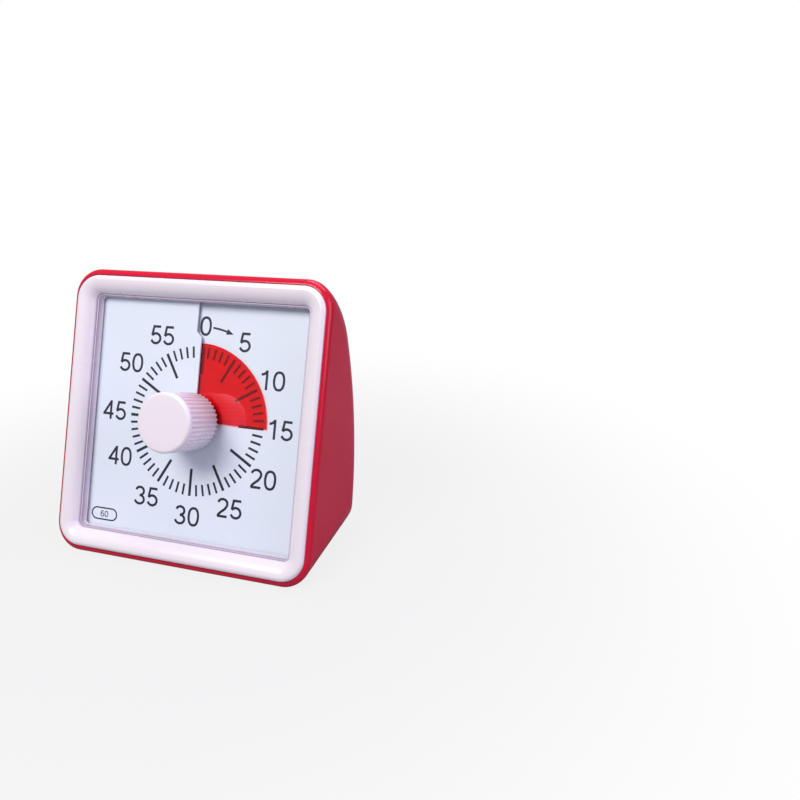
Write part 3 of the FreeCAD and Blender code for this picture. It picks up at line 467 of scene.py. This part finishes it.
# %% [markdown]
# The numbers are plain grotesque figures: strokes of one weight, flat ends, round bowls. Each is
# drawn here from a few lines and arcs in a narrow box that is one unit high, and the box is then
# widened, so the stroke's weight stays the same in all of them. An arc is a part of an ellipse, and
# its angles count from the right, anticlockwise.

# %% Figures from lines and arcs
figure_weight = 0.13
figure_stretch = 1.23
oval_steps = 32
oval_side = 0.82
oval_top = 0.9


def arc(x, y, half_x, half_y, start, stop, steps=14):
    points = []
    for index in range(steps + 1):
        turn = math.radians(start + (stop - start) * index / steps)
        points.append((x + half_x * math.cos(turn), y + half_y * math.sin(turn)))
    return points


def oval(x, y, half_x, half_y):
    """A closed ring with flatter sides than an ellipse has."""
    points = []
    for index in range(oval_steps):
        turn = 2 * math.pi * index / oval_steps
        across = math.copysign(abs(math.cos(turn)) ** oval_side, math.cos(turn))
        along = math.copysign(abs(math.sin(turn)) ** oval_top, math.sin(turn))
        points.append((x + half_x * across, y + half_y * along))
    return points


figures = {
    "0": [oval(0.28, 0.5, 0.222, 0.444)],
    "1": [[(0.35, 0.0), (0.35, 1.0)], arc(0.1, 1.0, 0.24, 0.22, -90, -8)],
    "2": [arc(0.275, 0.705, 0.215, 0.238, 168, -28) + [(0.39, 0.45), (0.2, 0.26), (0.11, 0.15), (0.07, 0.03)],
          [(0.06, 0.057), (0.505, 0.057)]],
    "3": [arc(0.265, 0.728, 0.195, 0.216, 165, -90), arc(0.265, 0.285, 0.222, 0.228, 92, -168)],
    "4": [[(0.4, 0.0), (0.4, 1.0)], [(0.01, 0.29), (0.535, 0.29)], [(0.055, 0.29), (0.385, 0.93)]],
    "5": [[(0.49, 0.943), (0.15, 0.943), (0.082, 0.47)], arc(0.27, 0.32, 0.225, 0.262, 148, -160)],
    "6": [oval(0.285, 0.31, 0.218, 0.254), arc(0.3, 0.5, 0.236, 0.444, 48, 205)],
}
print("figures:", sorted(figures))

# %% [markdown]
# A number is its figures side by side, set with their middle at its place. The places are read off
# a real dial: each number stands upright just outside its mark, so they are not quite on a circle.
# The 0 keeps clear of the slit, so that it is printed on one sheet and doesn't tear.

# %% Numbers
figure_height = 9.4
figure_pitch = 0.63
figure_middle = 0.28
number_places = [
    ("0", 0.7, 46.7), ("5", 22.8, 40.2), ("10", 38.7, 23.2), ("15", 45.1, 0.4),
    ("20", 38.7, -23.7), ("25", 22.3, -39.8), ("30", -0.4, -46.4), ("35", -24.1, -39.8),
    ("40", -41.2, -21.5), ("45", -46.4, 1.1), ("50", -38.7, 25.9), ("55", -21.9, 40.5),
]


def set_number(mesh, body, x, y, height):
    first = figure_middle + (len(body) - 1) * figure_pitch / 2
    for index, figure in enumerate(body):
        start = index * figure_pitch - first
        for line in figures[figure]:
            places = [(x + (start + across) * figure_stretch * height, y + (along - 0.5) * height)
                      for across, along in line]
            closed = len(line) == oval_steps
            ribbon(mesh, places, figure_weight * height, closed)


mesh = bmesh.new()
for body, x, y in number_places:
    set_number(mesh, body, x, y, figure_height)
dial_numbers = finish_mesh("dial_numbers", mesh)
print("numbers:", len(number_places), "with", len(dial_numbers.data.polygons), "faces")

# %% [markdown]
# A short curved arrow beside the 0 says which way the knob is turned. Its shaft is an arc with the
# same centre as the marks, and its head is the same stroke, first wide and then running to a point.

# %% Direction arrow
arrow_radius = 46.4
arrow_width = 0.95
arrow_from = 6.0
arrow_to = 15.6
head_turn = 4.6
head_width = 2.9
head_gap = 0.01
tip_width = 0.1
shaft_steps = 8


def on_circle(radius, degrees):
    turn = math.radians(degrees)
    return radius * math.sin(turn), radius * math.cos(turn)


shaft = [arrow_from + (arrow_to - arrow_from) * index / shaft_steps for index in range(shaft_steps + 1)]
head = [arrow_to + head_gap, arrow_to + head_turn]
line = [on_circle(arrow_radius, angle) for angle in shaft + head]
mesh = bmesh.new()
ribbon(mesh, line, [arrow_width] * len(shaft) + [head_width, tip_width])
direction_arrow = finish_mesh("direction_arrow", mesh)
print("arrow to", arrow_to + head_turn, "degrees,", len(direction_arrow.data.polygons), "faces")

# %% [markdown]
# A thin rounded badge in the lower left corner holds the length of the dial's full turn. Its line
# is a closed stroke with two half circles for ends.

# %% Badge
badge_x = -47.8
badge_y = -51.9
badge_half_x = 7.3
badge_half_y = 2.9
badge_line = 0.7
badge_figure = 3.1
badge_ends = (arc(badge_half_x - badge_half_y, 0, badge_half_y, badge_half_y, -90, 90)
              + arc(badge_half_y - badge_half_x, 0, badge_half_y, badge_half_y, 90, 270))
mesh = bmesh.new()
ribbon(mesh, [(badge_x + x, badge_y + y) for x, y in badge_ends], badge_line, True)
range_badge = finish_mesh("range_badge", mesh)
mesh = bmesh.new()
set_number(mesh, "60", badge_x, badge_y, badge_figure)
badge_number = finish_mesh("badge_number", mesh)
badge_faces = len(range_badge.data.polygons) + len(badge_number.data.polygons)
print("badge", 2 * badge_half_x, "by", 2 * badge_half_y, "mm,", badge_faces, "faces")

# %% [markdown]
# The knob is moulded with fine ribs for the fingers. The solid has flat-sided ribs; the real ones
# have soft tops and rounded roots, which catch a thin line of light each. So the knob is spun anew
# as rings of points whose radius waves once per rib, with a smooth cap in front.

# %% Knob
knob_rear, knob_front, knob_radius = dial_span("knob")
rib_count = 38
rib_depth = 0.8
rib_sharpness = 1.6
rib_fade = 0.5
fade_level = 0.15
fade_share = 0.6
cap_height = 2.4
cap_round = 1.5
cap_steps = 8
cap_shares = (0.6, 0.3)
wall_thickness = 2.0
inner_bevel = 0.3
outer_bevel = 0.4
points_per_rib = 10
count = rib_count * points_per_rib


def rib_dip(index, share):
    wave = 0.5 - 0.5 * math.cos(2 * math.pi * index / points_per_rib)
    return rib_depth * share * wave ** rib_sharpness


def knob_rings():
    """(level, radius, share of the ribs' depth) from the inside of the wall round to the cap."""
    inner = knob_radius - rib_depth - wall_thickness
    cap_level = knob_front - cap_height
    rings = [
        (knob_front - wall_thickness, inner, 0.0),
        (knob_rear + inner_bevel, inner, 0.0),
        (knob_rear, inner + inner_bevel, 0.0),
        (knob_rear, knob_radius - outer_bevel, 1.0),
        (knob_rear + outer_bevel, knob_radius, 1.0),
        (cap_level - rib_fade, knob_radius, 1.0),
        (cap_level - fade_level, knob_radius, fade_share),
        (cap_level, knob_radius, 0.0),
    ]
    for step in range(cap_steps + 1):
        turn = math.radians(step * 90 / cap_steps)
        radius = knob_radius - cap_round + cap_round * math.cos(turn)
        rings.append((knob_front - cap_round + cap_round * math.sin(turn), radius, 0.0))
    for share in cap_shares:
        rings.append((knob_front, (knob_radius - cap_round) * share, 0.0))
    return rings


mesh = bmesh.new()
loops = []
for level, radius, share in knob_rings():
    loop = []
    for index in range(count):
        turn = 2 * math.pi * index / count
        reach = radius - rib_dip(index, share)
        loop.append(mesh.verts.new(on_dial(reach * math.cos(turn), reach * math.sin(turn), level)))
    loops.append(loop)
for loop, follow in zip(loops, loops[1:]):
    for index in range(count):
        other = (index + 1) % count
        mesh.faces.new((loop[index], loop[other], follow[other], follow[index]))
mesh.faces.new(loops[0])
mesh.faces.new(loops[-1])
setting_knob = finish_mesh("setting_knob", mesh, "white_abs", "knob")
for face in setting_knob.data.polygons:
    face.use_smooth = True
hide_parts("knob")
print("knob:", len(setting_knob.data.polygons), "faces")

# %% [markdown]
# The studio is a pale table that runs on into a white room. For the camera the room is pure white,
# but on the timer it only gives even, soft light, so the white plastic keeps its shading.

# %% Floor and room
floor_reach = 6.0
floor_cells = 8
shadow_reach = 0.1
white_reach = 0.32
white_near = 0.84
room_light = 0.34


def floor_piece():
    mesh = bmesh.new()
    bmesh.ops.create_grid(mesh, x_segments=floor_cells, y_segments=floor_cells, size=floor_reach)
    data = bpy.data.meshes.new("floor")
    mesh.to_mesh(data)
    mesh.free()
    made = bpy.data.objects.new("floor", data)
    bpy.context.scene.collection.objects.link(made)
    return made


def floor_material():
    """Real table near the timer, where its shadow falls, and plain white further out."""
    made = bpy.data.materials.new("Studio table, white")
    made.use_nodes = True
    tree = made.node_tree
    shader = tree.nodes["Principled BSDF"]
    shader.inputs["Base Color"].default_value = linear("8C8C94")
    shader.inputs["Roughness"].default_value = 0.7
    path = add(tree, "ShaderNodeLightPath")
    coords = add(tree, "ShaderNodeTexCoord")
    distance = add(tree, "ShaderNodeVectorMath", None, {0: (coords, "Object")}, operation="LENGTH")
    white = add(tree, "ShaderNodeMapRange",
                {"From Min": shadow_reach, "From Max": white_reach, "To Min": white_near, "To Max": 1.0},
                {"Value": (distance, "Value")}, interpolation_type="SMOOTHSTEP")
    share = add(tree, "ShaderNodeMath", None, {0: (path, "Is Camera Ray"), 1: (white, "Result")},
                operation="MULTIPLY")
    glow = add(tree, "ShaderNodeEmission", {"Color": (1.0, 1.0, 1.0, 1.0), "Strength": 1.0})
    blend = add(tree, "ShaderNodeMixShader", None,
                {0: (share, "Value"), 1: (shader, "BSDF"), 2: (glow, "Emission")})
    tree.links.new(blend.outputs["Shader"], tree.nodes["Material Output"].inputs["Surface"])
    return made


floor = floor_piece()
floor.data.materials.append(floor_material())

world = bpy.data.worlds.new("room")
world.use_nodes = True
bpy.context.scene.world = world
room = world.node_tree
path = add(room, "ShaderNodeLightPath")
lit = room.nodes["Background"]
lit.inputs["Color"].default_value = linear("F3F0FA")
lit.inputs["Strength"].default_value = room_light
plain = add(room, "ShaderNodeBackground", {"Color": (1.0, 1.0, 1.0, 1.0), "Strength": 1.0})
choice = add(room, "ShaderNodeMixShader", None,
             {0: (path, "Is Camera Ray"), 1: (lit, "Background"), 2: (plain, "Background")})
room.links.new(choice.outputs["Shader"], room.nodes["World Output"].inputs["Surface"])
print("room light:", room_light)

# %% [markdown]
# Soft boxes are large lamps behind cloth. Seen in glossy plastic they are the highlights, so their
# place is chosen for the stripe they leave on the rim as much as for the light they give.


# %% Soft boxes
def softbox(name, place, aim, width, height, watts, shade):
    lamp = bpy.data.lights.new(name, "AREA")
    lamp.shape = "RECTANGLE"
    lamp.size = width
    lamp.size_y = height
    lamp.energy = watts
    lamp.color = linear(shade)[:3]
    made = bpy.data.objects.new(name, lamp)
    bpy.context.scene.collection.objects.link(made)
    made.location = place
    made.rotation_euler = (Vector(aim) - Vector(place)).to_track_quat("-Z", "Y").to_euler()


middle = (0.0, 0.0, 0.065)
softboxes = {
    "key": ((-0.25, -0.72, 0.95), middle, 0.6, 0.5, 10.6, "FFFAF4"),
    "top": ((0.1, 0.35, 0.95), middle, 0.8, 0.5, 5.0, "E9DCFF"),
    "side": ((0.95, -0.1, 0.45), middle, 0.5, 0.7, 3.4, "F2E2FF"),
}
for name, facts in softboxes.items():
    softbox(name, *facts)
print("soft boxes:", len(softboxes))

# %% [markdown]
# The camera stands to the right of the timer and above it, close enough for the knob to hide part
# of the dial behind it. Its place is given in real millimetres from the timer's own origin, which
# lies on the table, and its lens is the one that shows the timer as large as the photograph does.

# %% Camera
camera_right = 190.3
camera_back = 270.4
camera_height = 202.3
camera_tilt = 67.23
camera_roll = 1.39
camera_turn = 17.22
lens = 31.5
sensor_width = 36.0

view = bpy.data.cameras.new("camera")
view.lens = lens
view.sensor_width = sensor_width
camera = bpy.data.objects.new("camera", view)
bpy.context.scene.collection.objects.link(camera)
camera.location = Vector((camera_right, -camera_back, camera_height)) / 1000
camera.rotation_euler = [math.radians(angle) for angle in (camera_tilt, camera_roll, camera_turn)]
bpy.context.scene.camera = camera
bpy.context.scene.view_settings.view_transform = "Standard"
print("camera", round((camera.location - dial_centre).length, 3), "m from the dial")
